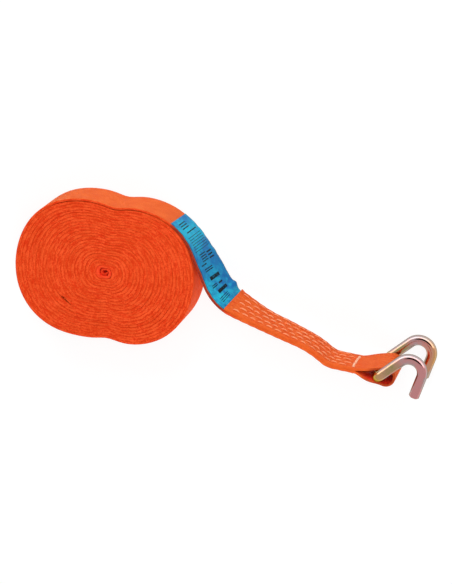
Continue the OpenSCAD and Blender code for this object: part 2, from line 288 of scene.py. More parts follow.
class Finishes(bpy.types.PropertyGroup):
    """Colours of the finishes."""
    webbing: colour("Webbing", "Face of the webbing", 0.835, 0.163, 0.030)
    # Deeper red: painted shade between the ribs and on the turns inside the outer one, and random streaks and
    # patches
    webbing_deep_and_shade: colour("Webbing, deep", "Webbing between its ribs", 0.68, 0.060, 0.007)
    # Edges: the webbing's red, darker as painted shade
    webbing_edge_shaded: colour("Webbing, edge", "Edges of the webbing", 0.72, 0.039, 0.006)
    # Pale fibres, placed on the edges' crest as a painted highlight
    webbing_pale_and_highlight: colour("Webbing, pale", "Pale threads in the edges of the webbing", 0.95, 0.112, 0.026)
    # Painted shade on the webbing's edges beside the label and round the eye
    webbing_shade: colour("Webbing, dark", "Soiled edge of the webbing beside the label", 0.27, 0.027, 0.016)
    # Brighter red as painted bounce light inside the eye and the core
    webbing_inside_bounce: colour("Webbing, inside", "Webbing inside the eye and the core", 1.0, 0.055, 0.024)
    # Painted light on the outer turn below the label, where the lead shades it
    webbing_painted_light: colour("Webbing, bright", "Outer turn of the roll below the label", 0.97, 0.105, 0.016)
    label: colour("Label", "Blue of the label", 0.009, 0.150, 0.420)
    # Paler blue: rubbed patches, and the painted highlight near the label's free end
    label_pale_and_highlight: colour("Label, pale", "Rubbed blue of the label", 0.020, 0.490, 0.670)
    ink: colour("Ink", "Blocks and rules on the label", 0.002, 0.009, 0.014)
    thread: colour("Thread", "Sewing thread", 1.0, 0.42, 0.20)
    tack: colour("Tack", "Heavier thread of the eye's tack", 1.0, 0.80, 0.56)
    zinc_gold: colour("Zinc, gold", "Gold tint of the plating in the bar's corners", 0.70, 0.41, 0.035)
    zinc_straw: colour("Zinc, straw", "Straw tint of the plating", 0.48, 0.40, 0.41)
    zinc_rose: colour("Zinc, rose", "Rose tint of the plating", 0.69, 0.30, 0.30)
    zinc_green: colour("Zinc, green", "Green tint of the plating", 0.26, 0.29, 0.105)
    zinc_edge: colour("Zinc, edge", "Tint of the plating seen at a low angle", 0.42, 0.34, 0.18)


class StageSettings(bpy.types.PropertyGroup):
    """Floor, lamps and sky."""
    floor: colour("Floor", "Colour of the floor", 0.96, 0.96, 0.96)
    floor_glow: share("Floor glow", "Share of plain white in the floor that is seen", 0.80)
    key: power("Key", "Power of the large lamp behind the object, in watts", 15)
    fill: power("Fill", "Power of the lamp over the near side, in watts", 17)
    front: power("Front", "Power of the lamp over the object, near the camera, in watts", 7)
    sky: power("Sky", "Strength of the even light all round", 0.40)
    gloss_plain: power("Plain gloss", "Strength of the sky in reflections", 0.68)
    gloss_bright: power("Bright gloss", "Strength of the low strip behind the object in reflections", 2.6)
    gloss_dark: power("Dark gloss", "Strength of the band above that strip in reflections", 0.03)


def settings(*groups):
    """Property groups on the scene, in the order named."""
    return [getattr(bpy.context.scene, "tie_down_" + group) for group in groups]


def smooth(x):
    """The curve 3c^2 - 2c^3 of x held between 0 and 1."""
    c = np.clip(x, 0, 1)
    return c * c * (3 - 2 * c)


def hump(s, start, end):
    """A sine squared from start to end, 0 outside."""
    return np.sin(np.pi * np.clip((s - start) / (end - start), 0, 1)) ** 2


def waves(x, seed, longest, shortest, terms=14):
    """A sum of sines of x with drawn phases, about -1 to 1.

    Wavelengths run from longest to shortest in even ratios, each drawn within 15 percent. A sine's size is
    its wavelength over the longest to the power 0.35. The sum is divided by 1.6 times its root mean square.
    """
    draw = np.random.default_rng(seed)
    lengths = np.geomspace(longest, shortest, terms) * draw.uniform(0.85, 1.15, terms)
    phases = draw.uniform(0, 2 * np.pi, terms)
    size = (lengths / longest) ** 0.35
    total = np.sin(2 * np.pi * np.asarray(x)[..., None] / lengths + phases) * size
    return total.sum(-1) / (1.6 * np.sqrt((size ** 2).sum() / 2))


def sums(values):
    """The running total of values, from 0."""
    return np.concatenate([[0], np.cumsum(values)])


def running(points):
    """Distance along a line of points, from its start."""
    return sums(np.linalg.norm(np.diff(points, axis=0), axis=1))


def followed(start, heading, stations, headings, step):
    """The line from start whose heading goes evenly from one of headings to the next between stations.

    Each point is the one before plus a step along the heading halfway between the two.
    """
    along = np.linspace(0, stations[-1], int(np.ceil(stations[-1] / step)) + 1)
    course = heading + np.interp(along, stations, headings)
    middle = (course[1:] + course[:-1]) / 2
    moves = np.stack([np.cos(middle), np.sin(middle)], -1) * np.diff(along)[:, None]
    return start + np.concatenate([[[0, 0]], np.cumsum(moves, axis=0)]), course


def left_of(heading):
    """Unit vector to the left of a heading."""
    return np.stack([-np.sin(heading), np.cos(heading)], -1)


def turn_step(strap):
    """Growth of the roll's mean radius in one turn."""
    return (strap.thickness + strap.turn_gap) / (1 - strap.oval - strap.fullness - strap.dent)


def roll_shape(strap, a):
    """Radius in direction a as a share of the mean: 1 + oval * cos 2b - fullness * cos 4b - dents.

    b is the direction from the long axis. A dent is a Gaussian of the angle from its direction.
    """
    b = a - strap.long_axis
    k = 1 + strap.oval * np.cos(2 * b) - strap.fullness * np.cos(4 * b)
    for place in DENTS:
        off = (a - math.radians(place) + np.pi) % (2 * np.pi) - np.pi
        k = k - strap.dent * np.exp(-(off / strap.dent_width) ** 2)
    return k


def roll_place(strap, u):
    """Centre line after u turns from the core; outward it winds clockwise to the wound end's direction."""
    a = strap.wound_end + 2 * np.pi * (strap.turns - u)
    r = (strap.core + turn_step(strap) * u) * roll_shape(strap, a)
    return np.stack([r * np.cos(a), r * np.sin(a)], -1)


def roll_pitch(strap, u, course):
    """Distance from one turn to the next, square to the webbing."""
    a = strap.wound_end + 2 * np.pi * (strap.turns - u)
    out = np.stack([np.cos(a), np.sin(a)], -1)
    return turn_step(strap) * roll_shape(strap, a) * np.abs((out * left_of(course)).sum(-1))


def ply_pitch(strap):
    """Distance between the middles of the two plies of the splice."""
    return strap.thickness + strap.ply_gap


def arm_span(strap, hook):
    """Distance between the middles of the hook's two arms."""
    return strap.width + 2 * hook.side_play + hook.bar


class StrapLine:
    """Centre line of the strap: wound turns, lead, eye and folded ply, one after the other."""

    def __init__(self, strap, hook):
        self.strap = strap
        self.eye_lift = hook.bar + hook.side_play
        leave = strap.turns + (strap.wound_end - strap.leave) / (2 * np.pi)
        u = np.linspace(-strap.curl, leave, int(TURN_STATIONS * leave) + 1)
        wound = roll_place(strap, u)
        ahead, behind = roll_place(strap, u + NUDGE), roll_place(strap, u - NUDGE)
        course = np.unwrap(np.arctan2(*(ahead - behind).T[::-1]))
        shares, turns = np.array(LEAD_RUNS).T
        headings = np.radians(sums(turns))
        free, free_course = followed(wound[-1], course[-1], sums(shares) * strap.lead, headings, LEAD_STEP)
        self.turn = np.concatenate([u, np.full(len(free) - 1, leave)])
        self.place = np.concatenate([wound, free[1:]])
        self.course = np.concatenate([course, free_course[1:]])
        total = running(self.place)
        self.wound_length = np.interp(strap.turns, u, total[:len(u)])
        self.along = total - self.wound_length
        self.end = self.along[-1]
        self.fold_start = self.end - strap.fold

    def lift(self, s):
        """Height of the lower edge: it rises smoothly from the floor to the eye's height."""
        span = self.end - self.strap.level - self.strap.rise_start
        return self.eye_lift * smooth((s - self.strap.rise_start) / span)

    def lean(self, s):
        """How far the lower edge leans to the left: a hump out of the roll, then evenly the other way."""
        turn_over = self.end - self.strap.lean_back
        back = smooth((s - turn_over) / self.strap.lean_back_run)
        return self.strap.lean * hump(s, self.strap.lean_start, turn_over) - self.strap.splice_lean * back

    def at(self, s):
        """Place and left vector at distance s along the lead."""
        place = np.stack([np.interp(s, self.along, self.place[:, i]) for i in (0, 1)], -1)
        return place, left_of(np.interp(s, self.along, self.course))

    def point(self, s, v, w):
        """Point at distance s along the lead, height v up the webbing and offset w to its left.

        The lean moves it to the left by lean * (1 - v / width), and shortens its height to match.
        """
        s, v, w = np.broadcast_arrays(s, v, w)
        place, left = self.at(s)
        lean = self.lean(s)
        side = (w + lean * (1 - v / self.strap.width))[..., None] * left
        z = self.lift(s) + v * np.sqrt(1 - (lean / self.strap.width) ** 2)
        return np.concatenate([place + side, z[..., None]], -1)

    def eye(self, hook):
        """Line of the eye: necks turn out, straight sides, and a round end that turns back.

        The near side is bowed out and the far side in, each by a sine squared of the distance along it.
        """
        strap = self.strap
        round_r = hook.bar / 2 + strap.thickness / 2 + strap.eye_room
        reach = ply_pitch(strap) / 2 + strap.neck
        both_r = round_r + strap.neck
        slope = math.asin(both_r / math.hypot(strap.eye, reach)) - math.atan2(reach, strap.eye)
        side = (strap.eye - both_r * math.sin(slope)) / math.cos(slope)
        around = math.pi + 2 * slope
        stations = sums([strap.neck * slope, side, round_r * around, side, strap.neck * slope])
        headings = sums([-slope, 0, around, 0, -slope])
        points, course = followed(self.place[-1], self.course[-1], stations, headings, EYE_STEP)
        run = running(points)
        out = strap.bulge * hump(run, stations[0], stations[2])
        out = out - strap.sag * hump(run, stations[3] + SAG_START * side, stations[-1])
        return points - out[:, None] * left_of(course), course


def strap_line():
    """The strap's line from the sizes on the scene."""
    return StrapLine(*settings("strap", "hook"))


def webbing_profile(strap, bands):
    """Outline of the webbing across its width, counter-clockwise: flat faces in bands, rounded edges.

    An edge is half an oval whose sine and cosine are taken to a power. Returns height v, offset w and the
    distance round the outline, with the first point's distance last.
    """
    half = strap.thickness / 2
    face = np.linspace(strap.edge, strap.width - strap.edge, bands + 1)
    arc = np.linspace(-np.pi / 2, np.pi / 2, EDGE_POINTS)[1:-1]
    tip = strap.edge * np.cos(arc) ** EDGE_POWER
    swing = half * np.sign(np.sin(arc)) * np.abs(np.sin(arc)) ** EDGE_POWER
    v = np.concatenate([face, strap.width - strap.edge + tip, face[::-1], strap.edge - tip])
    w = np.concatenate([np.full(bands + 1, half), -swing, np.full(bands + 1, -half), swing])
    round_trip = running(np.stack([np.append(v, v[0]), np.append(w, w[0])], -1))
    return v, w, round_trip


def tube_faces(n, m):
    """Point numbers of the faces of a tube of n rings of m points: quads between rings, then its two ends."""
    i, j = np.meshgrid(np.arange(n - 1), np.arange(m), indexing="ij")
    k = (j + 1) % m
    quads = np.stack([i * m + j, i * m + k, (i + 1) * m + k, (i + 1) * m + j], -1).reshape(-1, 4)
    return quads, np.stack([np.arange(m)[::-1], (n - 1) * m + np.arange(m)])


def sweep_mesh(name, rings, along, around):
    """A closed mesh through rings of points, with flat ends; its UV map holds the two distances in metres."""
    n, m = rings.shape[:2]
    quads, ends = tube_faces(n, m)
    low, high = along[:-1, None], along[1:, None]
    here, there = around[None, :-1], around[None, 1:]
    corners = [(low, here), (low, there), (high, there), (high, here)]
    uv = np.stack([np.stack(np.broadcast_arrays(*c), -1) for c in corners], 2).reshape(-1, 2)
    first_uv = np.stack([np.full(m, along[0]), around[:-1][::-1]], -1)
    last_uv = np.stack([np.full(m, along[-1]), around[:-1]], -1)
    loops = np.concatenate([quads.ravel(), ends.ravel()])
    sizes = np.concatenate([np.full(len(quads), 4), [m, m]])
    return filled_mesh(name, rings.reshape(-1, 3), loops, sizes, np.concatenate([uv, first_uv, last_uv]))


def filled_mesh(name, points, loops, sizes, uv):
    """An object at the origin whose mesh has these points, face corners, face sizes and UV places."""
    mesh = bpy.data.meshes.new(name)
    mesh.vertices.add(len(points))
    mesh.vertices.foreach_set("co", np.asarray(points, np.float32).ravel())
    mesh.loops.add(len(loops))
    mesh.loops.foreach_set("vertex_index", np.asarray(loops, np.int32))
    mesh.polygons.add(len(sizes))
    mesh.polygons.foreach_set("loop_start", sums(sizes)[:-1].astype(np.int32))
    mesh.update(calc_edges=True)
    layer = mesh.uv_layers.new(name="Run")
    layer.data.foreach_set("uv", np.asarray(uv, np.float32).ravel())
    mesh.polygons.foreach_set("use_smooth", np.ones(len(sizes), bool))
    mesh.validate()
    piece = bpy.data.objects.new(name, mesh)
    bpy.context.scene.collection.objects.link(piece)
    return piece


class Nodes:
    """Short way to place nodes in a tree and wire them."""

    def __init__(self, tree):
        self.tree = tree

    def add(self, kind, *inputs, **fields):
        """Places a node; inputs fill its sockets in order, fields set its properties or sockets by name."""
        node = self.tree.nodes.new(kind)
        named = {key: value for key, value in fields.items() if not hasattr(node, key)}
        for key, value in fields.items():
            if key not in named:
                setattr(node, key, value)
        for socket, value in zip(node.inputs, inputs):
            self.fill(socket, value)
        for key, value in named.items():
            self.fill(node.inputs[key], value)
        return node

    def fill(self, socket, value):
        """Wires an output into a socket, or sets its value; a colour gets full alpha."""
        if isinstance(value, bpy.types.NodeSocket):
            self.tree.links.new(value, socket)
        elif isinstance(value, bpy.types.Node):
            self.tree.links.new(value.outputs[0], socket)
        else:
            socket.default_value = (*value, 1.0) if isinstance(value, Color) else value

    def math(self, operation, *inputs):
        """A Math node's value."""
        return self.add("ShaderNodeMath", *inputs, operation=operation).outputs[0]

    def times(self, product, *factors):
        """The product of values."""
        for factor in factors:
            product = self.math("MULTIPLY", product, factor)
        return product

    def apart(self, value, centre):
        """How far a value is from centre, without its sign."""
        return self.math("ABSOLUTE", self.math("SUBTRACT", value, centre))

    def blend(self, a, b, part):
        """part of a and the rest of b."""
        return self.math("MULTIPLY_ADD", a, part, self.times(b, 1 - part))

    def mix(self, factor, a, b):
        """Colour a mixed with colour b."""
        node = self.add("ShaderNodeMix", data_type="RGBA")
        for index, value in ((0, factor), (6, a), (7, b)):
            self.fill(node.inputs[index], value)
        return node.outputs[2]

    def layers(self, ground, *layers):
        """A ground colour with others mixed over it in turn: each is a mask, its strength and a colour."""
        for mask, strength, tint in layers:
            ground = self.mix(mask if strength == 1 else self.times(mask, strength), ground, tint)
        return ground

    def ramp(self, value, low, high):
        """value taken from low..high to 0..1, smoothly."""
        node = self.add("ShaderNodeMapRange", value, low, high, 0.0, 1.0, interpolation_type="SMOOTHSTEP")
        return node.outputs[0]

    def noise(self, place, scale, detail=3.0):
        """Noise of a number of waves a metre, the same all ways or one number for each way."""
        if isinstance(scale, tuple):
            place, scale = self.add("ShaderNodeMapping", place, Scale=scale), 1.0
        return self.add("ShaderNodeTexNoise", place, Scale=scale, Detail=detail).outputs[0]

    def place(self):
        """Places on the piece, in metres."""
        return self.add("ShaderNodeTexCoord").outputs["Object"]

    def run(self):
        """Distances along and round the piece: both as a vector, then each."""
        both = self.add("ShaderNodeUVMap", uv_map="Run").outputs[0]
        along, around, _ = self.add("ShaderNodeSeparateXYZ", both).outputs
        return both, along, around

    def group(self, name, **inputs):
        """Places a node group and fills its sockets."""
        placed = self.add("ShaderNodeGroup", node_tree=bpy.data.node_groups[name])
        for key, value in inputs.items():
            self.fill(placed.inputs[key], value)
        return placed.outputs


def node_group(name, inputs, outputs):
    """A new shader node group with named sockets, and its inner nodes."""
    tree = bpy.data.node_groups.new(name, "ShaderNodeTree")
    for title, kind in inputs:
        tree.interface.new_socket(title, in_out="INPUT", socket_type="NodeSocket" + kind)
    for title, kind in outputs:
        tree.interface.new_socket(title, in_out="OUTPUT", socket_type="NodeSocket" + kind)
    nodes = Nodes(tree)
    return nodes, nodes.add("NodeGroupInput").outputs, nodes.add("NodeGroupOutput").inputs


def ribbed_weave_group():
    """Ribs along the run made of staggered floats.

    Height = the root of |sin| across the ribs, times one half plus half the root of |sin| along the floats,
    which step half a float from one rib to the next. Valley is 1 less the height.
    """
    nodes, given, out = node_group(
        "Ribbed weave", (("Run", "Vector"), ("Rib", "Float"), ("Float", "Float")),
        (("Height", "Float"), ("Valley", "Float")))

    def bumps(value):
        """Round bumps, one to each whole number: the root of |sin(pi * value)|."""
        wave = nodes.math("ABSOLUTE", nodes.math("SINE", nodes.times(value, math.pi)))
        return nodes.math("POWER", wave, 0.5)

    along, across, _ = nodes.add("ShaderNodeSeparateXYZ", given["Run"]).outputs
    across = nodes.math("DIVIDE", across, given["Rib"])
    stagger = nodes.times(nodes.math("FLOOR", across), 0.5)
    along = nodes.math("ADD", nodes.math("DIVIDE", along, given["Float"]), stagger)
    height = nodes.times(bumps(across), nodes.math("MULTIPLY_ADD", bumps(along), 0.5, 0.5))
    nodes.fill(out["Height"], height)
    nodes.fill(out["Valley"], nodes.math("SUBTRACT", 1.0, height))
    return nodes.tree


def drift_group():
    """Slow patches of one colour in another: a broad noise and one six times as fine, added and stretched."""
    nodes, given, out = node_group(
        "Colour drift", (("Place", "Vector"), ("Scale", "Float"), ("First", "Color"), ("Second", "Color")),
        (("Colour", "Color"), ("Patch", "Float")))
    broad = nodes.noise(given["Place"], given["Scale"])
    fine = nodes.noise(given["Place"], nodes.times(given["Scale"], 6.0), 2.0)
    patch = nodes.ramp(nodes.blend(fine, broad, 0.35), 0.36, 0.64)
    nodes.fill(out["Colour"], nodes.mix(patch, given["First"], given["Second"]))
    nodes.fill(out["Patch"], patch)
    return nodes.tree


def material(name):
    """A new material, its nodes and its shader."""
    made = bpy.data.materials.new(name)
    made.use_nodes = True
    return made, Nodes(made.node_tree), made.node_tree.nodes["Principled BSDF"]


def dress(nodes, shader, tint, roughness, height, strength, depth, **plain):
    """Gives the shader a colour, a roughness and a bump of a height, and its plain sockets their values."""
    bump = nodes.add("ShaderNodeBump", Strength=strength, Distance=depth, Height=height)
    for key, value in {"Base Color": tint, "Roughness": roughness, "Normal": bump, **plain}.items():
        nodes.fill(shader.inputs[key.replace("_", " ")], value)


def webbing_finish():
    """Orange polyester webbing: ribs of staggered floats with painted shade between them, slow drift of tone.

    The edges are darker as painted shade and mixed from deep and pale fibres, palest on their crest as a
    painted highlight. Along the run, masks change the colour at the core, the outer turn, the label, the
    splice and the eye, where they paint shade, light and bounce light.
    """
    look, strap, label = settings("finishes", "strap", "label")
    line = strap_line()
    made, nodes, shader = material("orange_webbing")
    run, along, across = nodes.run()
    place = nodes.place()

    def fade(start, ends):
        """0 to 1 along the run, between two distances from start."""
        return nodes.ramp(along, start + ends[0], start + ends[1])

    round_trip = webbing_profile(strap, 1)[2]
    half_way = round_trip[-1] / 2
    flat = round_trip[1] / half_way
    left_face = nodes.math("LESS_THAN", across, half_way)
    side = nodes.math("FRACT", nodes.math("DIVIDE", across, half_way))
    over = nodes.math("DIVIDE", nodes.math("SUBTRACT", side, flat), 1 - flat)
    # Painted highlight on the crest of each edge and painted shade towards the slits, broken up in patches
    crest = nodes.math("SINE", nodes.times(over, math.pi))
    patches = nodes.ramp(nodes.noise(place, EDGE_PATCHES, 2.0), 0.38, 0.58)
    crest = nodes.math("MULTIPLY_ADD", nodes.math("SUBTRACT", crest, 0.6), nodes.times(patches, 0.35), 0.75)
    fibres = nodes.blend(nodes.noise(place, EDGE_GRAIN), nodes.noise(run, EDGE_FIBRES), 0.45)
    pale = nodes.times(crest, nodes.ramp(fibres, 0.42, 0.58))

    fold, tack = line.wound_length + line.fold_start, line.wound_length + line.end
    outer_start, outer_end = line.wound_length + np.interp(
        strap.turns - np.array(OUTER_TURNS), line.turn, line.along)
    sewn = fade(fold, SEWN_IN)
    # Painted shade on the edges along the label
    label_edge_shade = nodes.times(fade(fold - label.length, LABEL_SHADE_IN), fade(fold, LABEL_SHADE_OUT))
    # Round the eye: painted shade on its edges and painted bounce light on its inner face
    looped = nodes.times(fade(tack, EYE_IN), fade(tack, EYE_OUT))
    # Painted light on the outer face of the outer turn
    outer = nodes.times(fade(outer_start, OUTER_IN), fade(outer_end, OUTER_OUT), left_face)
    core = fade(0, CORE_OUT)
    # Painted bounce light on the eye's inner face and in the core
    inside = nodes.math("MAXIMUM", nodes.times(looped, left_face), core)
    streaks = nodes.ramp(nodes.noise(run, FACE_STREAKS), 0.40, 0.70)
    streaks = nodes.times(streaks, nodes.math("MULTIPLY_ADD", sewn, 0.46, 0.36))
    weave = nodes.group("Ribbed weave", Run=run, Rib=strap.rib, Float=strap.float_run)

    # Edges: darker as painted shade, with pale fibres as a painted highlight on their crest
    edge = nodes.layers(
        look.webbing_edge_shaded,
        (pale, 1, look.webbing_pale_and_highlight),
        (sewn, 0.7, look.webbing),
        # Painted shade on the edges beside the label and round the eye
        (label_edge_shade, 1, look.webbing_shade),
        (looped, 0.55, look.webbing_shade),
        # Painted bounce light on the edges in the core
        (core, 0.5, look.webbing_inside_bounce))
    face = nodes.layers(
        look.webbing,
        # Painted shade in the valleys between the weave's ribs
        (nodes.ramp(weave["Valley"], 0.25, 1.0), 1, look.webbing_deep_and_shade),
        (streaks, 1, look.webbing_deep_and_shade),
        # Painted shade on the turns inside the outer one, seen in the slits between turns
        (fade(outer_start, INNER_SHADE_OUT), 0.6, look.webbing_deep_and_shade),
        # Painted light on the outer turn below the label
        (outer, 0.8, look.webbing_painted_light),
        # Painted bounce light inside the eye and the core
        (inside, 1, look.webbing_inside_bounce),
        (nodes.ramp(side, flat, flat + 0.005), 1, edge))
    worn = nodes.mix(0.34, face, look.webbing_deep_and_shade)
    drift = nodes.group("Colour drift", Place=place, Scale=WEBBING_DRIFT, First=face, Second=worn)
    roughness = nodes.math("MULTIPLY_ADD", weave["Valley"], 0.25, 0.6)
    dress(nodes, shader, drift["Colour"], roughness, weave["Height"], 0.55, 0.00025, Specular_IOR_Level=0.08)
    return made


def label_finish():
    """Blue label with generic rules and blocks across it, paler where it is rubbed, darker along both edges.

    Painted shade makes it deeper blue in its middle, and a painted highlight paler near its free end.
    """
    look, label = settings("finishes", "label")
    made, nodes, shader = material("blue_label")
    run, along, across = nodes.run()
    place = nodes.place()
    along = nodes.math("DIVIDE", along, label.length)
    across = nodes.math("DIVIDE", across, label.width)
    ink = 0.0
    for start, end, low, high, rules, inked in LABEL_PRINT:
        phase = nodes.times(nodes.math("SUBTRACT", along, start), rules / (end - start))
        ruled = nodes.times(
            nodes.math("GREATER_THAN", along, start), nodes.math("LESS_THAN", along, end),
            nodes.math("GREATER_THAN", across, low), nodes.math("LESS_THAN", across, high),
            nodes.math("LESS_THAN", nodes.math("FRACT", phase), inked))
        ink = nodes.math("MAXIMUM", ink, ruled)
    ink = nodes.times(ink, nodes.ramp(nodes.noise(place, INK_WEAR, 2.0), 0.15, 0.45))
    # Darker band along both edges, in half-strength ink
    edge_band = nodes.ramp(nodes.apart(across, 0.5), *EDGE_BAND_FADE)
    ink = nodes.math("MAXIMUM", ink, nodes.times(edge_band, 0.5))
    drift = nodes.group(
        "Colour drift", Place=place, Scale=LABEL_DRIFT, First=look.label, Second=look.label_pale_and_highlight)
    tint = nodes.layers(
        drift["Colour"],
        # Painted shade, deeper in the label's middle
        (nodes.ramp(nodes.apart(along, SHADE_PLACE), *SHADE_FADE), 0.55, look.label),
        # Painted highlight, paler near its free end
        (nodes.ramp(nodes.apart(along, HIGHLIGHT_PLACE), *HIGHLIGHT_FADE), 0.5, look.label_pale_and_highlight),
        (ink, 1, look.ink))
    weave = nodes.group("Ribbed weave", Run=run, Rib=label.rib, Float=label.float_run)
    roughness = nodes.math("MULTIPLY_ADD", drift["Patch"], 0.15, 0.45)
    dress(nodes, shader, tint, roughness, weave["Height"], 0.25, 0.00006, Specular_IOR_Level=0.06)
    return made


def thread_finish(name, tint):
    """Pale sewing thread: a twist that runs round the thread, |sin| of the distances along and round it."""
    [look] = settings("finishes")
    made, nodes, shader = material(name)
    _, along, around = nodes.run()
    turn = nodes.math("MULTIPLY_ADD", along, TWIST[0], nodes.times(around, TWIST[1]))
    twist = nodes.math("ABSOLUTE", nodes.math("SINE", turn))
    shade = nodes.mix(0.55, tint, look.webbing)
    drift = nodes.group("Colour drift", Place=nodes.place(), Scale=THREAD_DRIFT, First=tint, Second=shade)
    grooved = nodes.layers(
        drift["Colour"], (nodes.ramp(twist, 0.4, 0.0), 1, nodes.mix(0.4, drift["Colour"], look.webbing)))
    dress(nodes, shader, grooved, nodes.math("MULTIPLY_ADD", twist, -0.2, 0.7), twist, 0.5, 0.0001)
    return made


def zinc_finish():
    """Yellow passivated zinc: straw and rose that drift, gold towards the corners, green on the arms.

    Masks go by the distance from the nearer end of the bar and by |sin| of the angle round it, which is 1 on
    the flanks that face up and down.
    """
    look, hook, strap = settings("finishes", "hook", "strap")
    made, nodes, shader = material("yellow_zinc")
    run, along, around = nodes.run()
    place = nodes.place()
    turn = nodes.math("DIVIDE", around, hook.bar / 2)
    flank = nodes.math("ABSOLUTE", nodes.math("SINE", turn))
    top = nodes.ramp(flank, 0.55, 0.95)
    drift = nodes.group(
        "Colour drift", Place=place, Scale=ZINC_DRIFT, First=look.zinc_straw, Second=look.zinc_green)
    spots = nodes.group(
        "Colour drift", Place=place, Scale=ZINC_SPOTS, First=look.zinc_green, Second=look.zinc_rose)
    band = nodes.math("MULTIPLY_ADD", nodes.math("SUBTRACT", drift["Patch"], 0.5), 0.5, flank)
    khaki = nodes.mix(0.55, drift["Colour"], look.zinc_gold)

    bend = hook.prong + (hook.throat + hook.bar / 2) * hook.turn
    to_middle = bend + hook.arm + hook.corner * (math.pi / 2 - 2) + arm_span(strap, hook) / 2
    from_end = nodes.math("SUBTRACT", to_middle, nodes.apart(along, to_middle))
    arm = nodes.times(nodes.ramp(from_end, bend + ARM_IN[0], bend + ARM_IN[1]), top)
    middle = nodes.times(arm, nodes.ramp(from_end, bend + GREEN_OUT[0], bend + GREEN_OUT[1]))
    corners = nodes.ramp(from_end, bend + GOLD_START, bend + hook.arm)
    outer = nodes.ramp(nodes.math("COSINE", turn), 0.1, 0.8)
    outer = nodes.times(outer, nodes.ramp(from_end, hook.prong * GOLD_PRONG, hook.prong), 0.35)
    lower = nodes.ramp(along, hook.prong + LOWER_BEND * (bend - hook.prong), hook.prong)
    lower = nodes.times(nodes.math("MULTIPLY_ADD", flank, 0.35, outer), lower)

    tint = nodes.layers(
        look.zinc_straw,
        (top, 1, drift["Colour"]),
        (nodes.ramp(band, 0.45, 0.95), 1, look.zinc_rose),
        (arm, 0.75, khaki),
        (corners, 0.85, look.zinc_gold),
        (lower, 1, look.zinc_gold),
        (middle, 0.5, look.zinc_green),
        (arm, 0.35, spots["Colour"]))
    streaks = nodes.noise(run, BAR_STREAKS)
    roughness = nodes.math("MULTIPLY_ADD", streaks, 0.12, 0.08)
    dress(nodes, shader, tint, roughness, streaks, 0.08, 0.0002, Metallic=1.0, Specular_Tint=look.zinc_edge)
    return made


